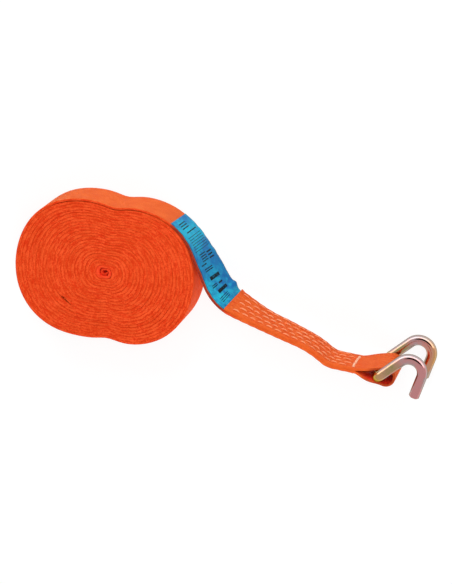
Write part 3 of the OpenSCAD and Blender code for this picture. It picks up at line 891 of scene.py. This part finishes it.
class WoundStrap(bpy.types.Operator):
    """Makes the webbing: one strip wound in a roll, led out, looped round the bar and folded back"""
    bl_idname = "tie_down.strap"
    bl_label = "Webbing"

    def execute(self, context):
        strap, hook = settings("strap", "hook")
        rings, along, around = self.rings(strap, hook, strap_line())
        piece = sweep_mesh("webbing", rings, along, around)
        piece.data.materials.append(webbing_finish())
        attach(piece, "strap")
        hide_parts("strap_roll", "strap_lead", "strap_eye", "strap_foldback")
        return {"FINISHED"}

    def rings(self, strap, hook, line):
        """The webbing's outline carried along its line, and the distances along and round it.

        At each station s is the distance along the lead, which the fold runs back over. The outline is
        swollen, moved and leaned to its left. The sewing draws its edges in by pucker * (1/2 + sin).
        """
        [sewing] = settings("sewing")
        v, w, around = webbing_profile(strap, FACE_BANDS)
        eye, eye_course = line.eye(hook)
        back = np.linspace(line.end, line.fold_start, int(strap.fold / LEAD_STEP))[1:]
        back_place, back_left = line.at(back)
        lead, loop = len(line.place), len(eye) - 1
        s = np.concatenate([line.along, np.full(loop, line.end), back])
        place = np.concatenate([line.place, eye[1:], back_place + ply_pitch(strap) * back_left])
        left = np.concatenate([left_of(line.course), left_of(eye_course[1:]), -back_left])
        along = running(place)
        tack_left = left_of(line.course[-1])
        tack_ahead = np.array([tack_left[1], -tack_left[0]])
        lean_left = np.concatenate([left_of(line.course), np.broadcast_to(tack_left, (loop, 2)), back_left])
        past_tack = (eye[1:] - eye[0]) @ tack_ahead
        lean = line.lean(s)
        lean[lead:lead + loop] *= 1 - smooth(past_tack / strap.eye_upright)

        in_roll = smooth(-line.along / WAVES_OUT) * smooth(along[:lead] / WAVES_IN)
        proud, sunk, stray, parted = np.zeros((4, len(s)))
        proud[:lead] = in_roll * strap.unevenness * np.clip(
            0.5 + 0.5 * waves(along[:lead], *PROUD_WAVES), 0, 1)
        sunk[:lead] = strap.sink * (1 - smooth((line.turn + strap.curl) / (strap.curl + CORE_RISE)))
        stray[:lead] = in_roll * strap.wobble * waves(along[:lead], *STRAY_WAVES)
        parted[:lead] = strap.part * np.exp(-((line.turn - PARTED[0]) / PARTED[1]) ** 2)
        sewn = smooth((s - line.fold_start) / SEW_RUN)
        drawn_in = strap.pucker * sewn * (0.5 + np.sin(2 * np.pi * s / sewing.step))
        edge = (v / strap.width - 0.5) * 2
        height = v - edge * np.abs(edge) * drawn_in[:, None]

        left_half, right_half = self.halves(line, s, lead, past_tack)
        half = np.where(w > 0, left_half[:, None], right_half[:, None])
        top_quarter = np.where(w > 0, smooth(4 * v / strap.width - 3), 0)
        side = w / (strap.thickness / 2) * half + stray[:, None] - parted[:, None] * top_quarter
        tilt = lean[:, None] * (1 - height / strap.width)
        xy = place[:, None] + side[..., None] * left[:, None] + tilt[..., None] * lean_left[:, None]
        cut = strap.slant * smooth((line.fold_start + strap.slant_run - back) / strap.slant_run)
        ahead = np.stack([back_left[:, 1], -back_left[:, 0]], -1)
        xy[-len(back):] -= (cut[:, None] * height[-len(back):] / strap.width)[..., None] * ahead[:, None]
        tall = np.sqrt(1 - (lean / strap.width) ** 2) - sunk / strap.width
        z = (line.lift(s) + proud)[:, None] + height * tall[:, None]
        return np.concatenate([xy, z[..., None]], -1), along, around

    @staticmethod
    def halves(line, s, lead, past_tack):
        """Thickness to the left and to the right of the centre line, at every station.

        In the roll both fill the pitch but for the slit, less so in the core, and the slit widens where the
        last turn stands off. From the lead on, the right side is lofted. Between the plies of the splice the
        left sides close the gap.
        """
        strap = line.strap
        [label] = settings("label")
        left = np.full(len(s), strap.thickness / 2)
        right = left.copy()
        off = strap.turns - strap.loose / (2 * np.pi)
        pitch = roll_pitch(strap, line.turn, line.course)
        core = smooth((line.turn + strap.curl) / (strap.curl + CORE_RUN))
        tight = CORE_SWELL + (1 - CORE_SWELL) * core
        for half, turn in ((left[:lead], line.turn + 1), (right[:lead], line.turn)):
            slit = strap.slit + (strap.gape - strap.slit) * smooth((turn - off) / GAPE_RUN)
            half += ((pitch - slit) / 2 * tight - half) * smooth((line.turn[-1] - turn) / SWELL_RUN)
        free = np.ones(len(s))
        free[:lead] = smooth((line.along - LOFT_START) / LOFT_RUN)
        sewn = smooth((s - line.fold_start - label.tuck - CLOSE_START) / SEW_RUN) * free
        sewn[lead:lead + len(past_tack)] *= 1 - smooth(past_tack / SEW_RUN)
        return left + CLOSE_SHARE * strap.ply_gap * sewn, right + strap.loft * free


class BlueLabel(bpy.types.Operator):
    """Makes the label: a thin creased sheet on the lead, its end caught under the folded ply"""
    bl_idname = "tie_down.label"
    bl_label = "Label"

    def execute(self, context):
        strap, label = settings("strap", "label")
        line = strap_line()
        start = line.fold_start + label.tuck - label.length
        s = np.linspace(start, start + label.length, LABEL_STATIONS[0])
        v = np.linspace(0, label.width, LABEL_STATIONS[1])
        grid_s, grid_v = np.meshgrid(s, v, indexing="ij")
        rise = label.crinkle * self.creases(line, grid_s, grid_v, start)
        tucked = smooth((grid_s - line.fold_start + strap.slant) / label.tuck)
        grid_s = grid_s - label.slant * grid_v / label.width * (1 - (grid_s - start) / label.length)
        low = (strap.width - label.width) / 2
        height = low + grid_v - label.drawn * tucked * (grid_v / label.width) ** 2
        base = strap.thickness / 2 + label.fit
        front = line.point(grid_s, height, base + label.thickness + rise)
        back = line.point(grid_s, height, base + rise)
        rings = np.concatenate([front, back[:, ::-1]], 1)
        around = np.concatenate([v, v[::-1], [0]])
        piece = sweep_mesh("label", rings, s - start, around)
        piece.data.materials.append(label_finish())
        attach(piece, "strap")
        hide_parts("strap_label")
        return {"FINISHED"}

    @staticmethod
    def creases(line, s, v, start):
        """How far the label stands off, in crinkles: slanting ridges and pleats, and a puff before the fold.

        Ridges are |waves| and pleats are smoothed waves, each on a slant. The puff is a Gaussian of s.
        """
        free = smooth((line.fold_start - CREASE_END - s) / CREASE_OUT) * smooth((s - start) / CREASE_IN)
        slope, part, drawing = RIDGES
        crease = np.abs(waves(s + slope * v, *drawing)) * part
        slope, part, drawing = PLEATS
        crease += smooth(waves(s + slope * v, *drawing)) * part
        puff = np.exp(-((line.fold_start - PUFF_BACK - s) / PUFF_HALF) ** 2)
        return free * (crease + PUFF_SHARE * smooth((PUFF_HEIGHT - v) / PUFF_FADE) * puff)


def stitch_mesh(name, line, s, v, reach, side, sewing, weight=1.0):
    """Stitches as short round bars along or across the strap, bowed up in the middle.

    Each is a ring of points carried along the stitch. Its radius falls towards both ends as a root of a sine,
    and its height over the ply follows a sine to the power 0.6.
    """
    strap = line.strap
    t = np.linspace(0, 1, STITCH_RINGS)
    ring = np.linspace(0, 2 * np.pi, STITCH_POINTS + 1)[:-1]
    radius = weight * sewing.thread / 2 * (STITCH_END + (1 - STITCH_END) * np.sin(np.pi * t) ** 0.5)
    bow = sewing.thread * STITCH_BOW * np.sin(np.pi * t) ** 0.6
    outer = strap.thickness / 2 + strap.loft
    face = np.where(side > 0, ply_pitch(strap) + outer, -outer)
    up = v[:, None, None] + radius[:, None] * np.cos(ring)
    out = face[:, None, None] + side[:, None, None] * (bow[:, None] + radius[:, None] * np.sin(ring))
    run = np.broadcast_to((s[:, None] + reach[:, None] * t)[..., None], up.shape)
    points = line.point(run, up, out)
    n, m, k = points.shape[:3]
    quads, ends = tube_faces(m, k)
    one = np.concatenate([quads.ravel(), ends.ravel()])
    flipped = np.concatenate([quads[:, ::-1].ravel(), ends[:, ::-1].ravel()])
    loops = np.where(side[:, None] > 0, flipped, one) + np.arange(n)[:, None] * (m * k)
    loops = loops.ravel()
    sizes = np.tile(np.concatenate([np.full(len(quads), 4), [k, k]]), n)
    uv = np.stack([run, np.broadcast_to(ring * sewing.thread / 2, up.shape)], -1).reshape(-1, 2)
    return filled_mesh(name, points.reshape(-1, 3), loops, sizes, uv[loops])


class Sewing(bpy.types.Operator):
    """Makes the rows of stitches along the splice and the tack across the eye"""
    bl_idname = "tie_down.sewing"
    bl_label = "Sewing"

    def execute(self, context):
        strap, sewing, look = settings("strap", "sewing", "finishes")
        line = strap_line()
        draw = np.random.default_rng(STITCH_SEED)
        inner = strap.width - 2 * sewing.border
        room = strap.fold - sewing.border - sewing.tack - sewing.stitch - sewing.step / 2
        row, i = np.meshgrid(np.arange(sewing.rows), np.arange(int(room / sewing.step) + 1), indexing="ij")
        s = line.fold_start + sewing.border + (i + (row % 2) / 2) * sewing.step
        v = sewing.border + row * inner / (sewing.rows - 1)
        side = np.repeat([1.0, -1.0], s.size)
        s = np.tile(s.ravel(), 2) + draw.normal(0, ROW_STRAY[0], len(side))
        v = np.tile(v.ravel(), 2) + draw.normal(0, ROW_STRAY[1], len(side))
        reach = sewing.stitch * draw.uniform(*ROW_LENGTHS, len(side))
        rows = stitch_mesh("splice_thread", line, s, v, reach, side, sewing)
        across = int(inner / sewing.tack_step)
        side = np.repeat([1.0, -1.0], across + 1)
        v = strap.width / 2 + sewing.tack_rise + (np.arange(across + 1) - across / 2) * sewing.tack_step
        v = np.tile(v, 2) + draw.normal(0, TACK_STRAY[1], len(side))
        s = line.end - sewing.tack + draw.normal(0, TACK_STRAY[0], len(side))
        reach = sewing.tack * draw.uniform(*TACK_LENGTHS, len(side))
        tack = stitch_mesh("eye_thread", line, s, v, reach, side, sewing, TACK_WEIGHT)
        for piece, node, finish in (
                (rows, "splice_stitching", thread_finish("pale_thread", look.thread)),
                (tack, "eye_tack", thread_finish("tack_thread", look.tack))):
            piece.data.materials.append(finish)
            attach(piece, "strap")
            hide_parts(node)
        return {"FINISHED"}


class ClawHook(bpy.types.Operator):
    """Makes the hook: one round bar bent twice at its corners and once round each throat"""
    bl_idname = "tie_down.hook"
    bl_label = "Hook"

    def execute(self, context):
        strap, hook = settings("strap", "hook")
        radius = hook.bar / 2
        path, first = self.path(hook, arm_span(strap, hook))
        second = np.cross(self.ahead(path), first)
        along = running(path)
        from_end = np.minimum(along, along[-1] - along)
        size = radius - hook.bevel * np.clip(1 - from_end / hook.bevel, 0, 1)
        theta = np.linspace(0, 2 * np.pi, BAR_POINTS + 1)
        c, s = np.cos(theta[:-1])[:, None], np.sin(theta[:-1])[:, None]
        rings = path[:, None] + size[:, None, None] * (c * first[:, None] + s * second[:, None])
        heading = strap_line().course[-1] + hook.swing
        c, s = math.cos(heading), math.sin(heading)
        placed = rings @ np.array([[c, s, 0], [-s, c, 0], [0, 0, 1]]) + [BAR_PLACE[0], BAR_PLACE[1], radius]
        piece = sweep_mesh("double_hook", placed, along, theta * radius)
        piece.data.materials.append(zinc_finish())
        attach(piece, "hook")
        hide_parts("claw_hook")
        return {"FINISHED"}

    @staticmethod
    def ahead(path):
        """Unit vectors along a path."""
        ahead = np.gradient(path, axis=0)
        return ahead / np.linalg.norm(ahead, axis=1)[:, None]

    def path(self, hook, span):
        """The bar's centre line from the lower prong's end to the upper one's, and a vector square to it.

        The arms lie along x and the bar along z. A prong, its bend round the throat, the arm and a quarter
        turn into the bar make the lower half, and the upper half is its mirror image. The vector stays in the
        plane of each arm, and along y on corners and bar.
        """
        in_prong, in_bend, in_arm, in_corner, in_bar = HOOK_STATIONS
        bend = hook.throat + hook.bar / 2
        cut = np.linspace(0, hook.bevel, BEVEL_RINGS)
        prong = hook.prong - np.concatenate([cut, np.linspace(hook.bevel, hook.prong, in_prong)[1:]])
        phi = np.linspace(hook.turn, 0, in_bend)
        arm = np.linspace(hook.arm, hook.corner, in_arm)[1:]
        quarter = np.linspace(0, np.pi / 2, in_corner)[1:]
        bar = np.linspace(hook.corner, span - hook.corner, in_bar)[1:-1]
        bend_line = np.stack([hook.arm + bend * np.sin(phi), bend * np.cos(phi) - bend], -1)
        prong_line = bend_line[0] + prong[:, None] * [np.cos(hook.turn), -np.sin(hook.turn)]
        flat = np.concatenate([prong_line, bend_line[1:], np.stack([arm, 0 * arm], -1)])
        flat = np.concatenate([flat, np.zeros((len(flat), 1))], -1)
        corner = hook.corner * np.stack([1 - np.sin(quarter), 0 * quarter, 1 - np.cos(quarter)], -1)
        lower = np.concatenate([flat, corner])
        upper = lower[::-1] * [1, 1, -1] + [0, 0, span]
        path = np.concatenate([lower, np.stack([0 * bar, 0 * bar, bar], -1), upper])
        ahead = self.ahead(path)
        first = np.tile([0.0, 1.0, 0.0], (len(path), 1))
        n = len(flat)
        first[:n] = np.stack([ahead[:n, 1], -ahead[:n, 0], 0 * ahead[:n, 0]], -1)
        first[-n:] = np.stack([-ahead[-n:, 1], ahead[-n:, 0], 0 * ahead[-n:, 0]], -1)
        return path, first


class Stage(bpy.types.Operator):
    """Makes the floor, the lamps, the sky and the camera"""
    bl_idname = "tie_down.stage"
    bl_label = "Stage"

    def execute(self, context):
        [stage] = settings("stage")
        scene = context.scene
        scene.view_settings.view_transform = "Standard"
        floor = bpy.data.meshes.new("floor")
        low, high = -FLOOR_HALF, FLOOR_HALF
        corners = [(low, low), (high, low), (high, high), (low, high)]
        floor.from_pydata([(x, y, -FLOOR_DROP) for x, y in corners], [], [(0, 1, 2, 3)])
        floor = bpy.data.objects.new("floor", floor)
        scene.collection.objects.link(floor)
        floor.data.materials.append(self.floor_finish(stage))
        self.sky(stage)
        for name, place, side in LAMPS:
            lamp = bpy.data.lights.new(name + "_lamp", "AREA")
            lamp.energy = getattr(stage, name)
            lamp.size = side
            lamp = bpy.data.objects.new(name + "_lamp", lamp)
            lamp.visible_glossy = False
            lamp.matrix_world = self.looking(place)
            scene.collection.objects.link(lamp)
        camera = bpy.data.cameras.new("camera")
        camera.sensor_width, camera.lens = SENSOR, LENS
        camera.clip_start, camera.clip_end = RANGE
        camera = bpy.data.objects.new("camera", camera)
        camera.matrix_world = Matrix(CAMERA)
        scene.collection.objects.link(camera)
        scene.camera = camera
        return {"FINISHED"}

    @staticmethod
    def looking(place):
        """Matrix of a lamp at place that shines on the lit place."""
        back = np.array(place) - LIT_PLACE
        back /= np.linalg.norm(back)
        right = np.cross([0, 0, 1], back)
        right /= np.linalg.norm(right)
        axes = np.stack([right, np.cross(back, right), back, place], -1)
        return Matrix([*axes.tolist(), [0, 0, 0, 1]])

    @staticmethod
    def floor_finish(stage):
        """Pale matt floor: partly plain white where it is seen, so that it stays white and keeps the shadow.

        It is seen by rays from the camera, off gloss or through glass.
        """
        made, nodes, shader = material("pale_floor")
        nodes.fill(shader.inputs["Base Color"], stage.floor)
        nodes.fill(shader.inputs["Roughness"], 0.9)
        path = nodes.add("ShaderNodeLightPath").outputs
        seen = nodes.math("MAXIMUM", path["Is Camera Ray"], path["Is Glossy Ray"])
        seen = nodes.math("MAXIMUM", seen, path["Is Transmission Ray"])
        glow = nodes.add("ShaderNodeEmission", WHITE, FLOOR_WHITE)
        mix = nodes.add("ShaderNodeMixShader", nodes.times(seen, stage.floor_glow), shader, glow)
        nodes.fill(made.node_tree.nodes["Material Output"].inputs[0], mix)
        return made

    @staticmethod
    def sky(stage):
        """Even sky for light; white to the camera.

        In reflections its strength is plain + far * (low * (bright - plain) + band * (dark - plain)): a
        bright low strip on the far side, and a dark band above that.
        """
        world = bpy.data.worlds.new("studio")
        bpy.context.scene.world = world
        world.use_nodes = True
        nodes = Nodes(world.node_tree)
        path = nodes.add("ShaderNodeLightPath").outputs
        way = nodes.add("ShaderNodeTexCoord").outputs["Generated"]
        x, y, z = nodes.add("ShaderNodeSeparateXYZ", way).outputs
        low = nodes.ramp(z, *STRIP_Z)
        band = nodes.times(nodes.ramp(z, *BAND_FOOT_Z), nodes.ramp(z, *BAND_TOP_Z), nodes.ramp(x, *BAND_X))
        strip = nodes.times(low, stage.gloss_bright - stage.gloss_plain)
        strip = nodes.math("MULTIPLY_ADD", band, stage.gloss_dark - stage.gloss_plain, strip)
        gloss = nodes.math("MULTIPLY_ADD", nodes.ramp(y, *FAR_Y), strip, stage.gloss_plain)
        gloss = nodes.math("SUBTRACT", gloss, stage.sky)
        shown = nodes.math("MULTIPLY_ADD", path["Is Glossy Ray"], gloss, stage.sky)
        shown = nodes.math("MAXIMUM", shown, path["Is Camera Ray"])
        back = world.node_tree.nodes["Background"]
        nodes.fill(back.inputs[0], WHITE)
        nodes.fill(back.inputs[1], shown)


GROUPS = {
    "tie_down_strap": StrapSizes, "tie_down_label": LabelSizes, "tie_down_sewing": SewingSizes,
    "tie_down_hook": HookSizes, "tie_down_finishes": Finishes, "tie_down_stage": StageSettings}
OPERATORS = (WoundStrap, BlueLabel, Sewing, ClawHook, Stage)


class TieDownPanel(bpy.types.Panel):
    """Lists the pieces of the strap and their settings"""
    bl_idname = "VIEW3D_PT_tie_down"
    bl_label = "Tie-down strap"
    bl_space_type = "VIEW_3D"
    bl_region_type = "UI"
    bl_category = "Tie-down"

    def draw(self, context):
        for operator in OPERATORS:
            self.layout.operator(operator.bl_idname)
        for group, kind in GROUPS.items():
            box = self.layout.box()
            for key in kind.__annotations__:
                box.prop(getattr(context.scene, group), key)


def register():
    """Adds the classes and the settings on the scene."""
    for kind in (*GROUPS.values(), *OPERATORS, TieDownPanel):
        bpy.utils.register_class(kind)
    for name, kind in GROUPS.items():
        setattr(bpy.types.Scene, name, bpy.props.PointerProperty(type=kind))


def unregister():
    """Takes them away again."""
    for name in GROUPS:
        delattr(bpy.types.Scene, name)
    for kind in reversed((*GROUPS.values(), *OPERATORS, TieDownPanel)):
        bpy.utils.unregister_class(kind)


def main():
    """Makes every piece and the stage."""
    register()
    ribbed_weave_group()
    drift_group()
    for operator in OPERATORS:
        group, name = operator.bl_idname.split(".")
        getattr(getattr(bpy.ops, group), name)()


if __name__ == "__main__":
    main()
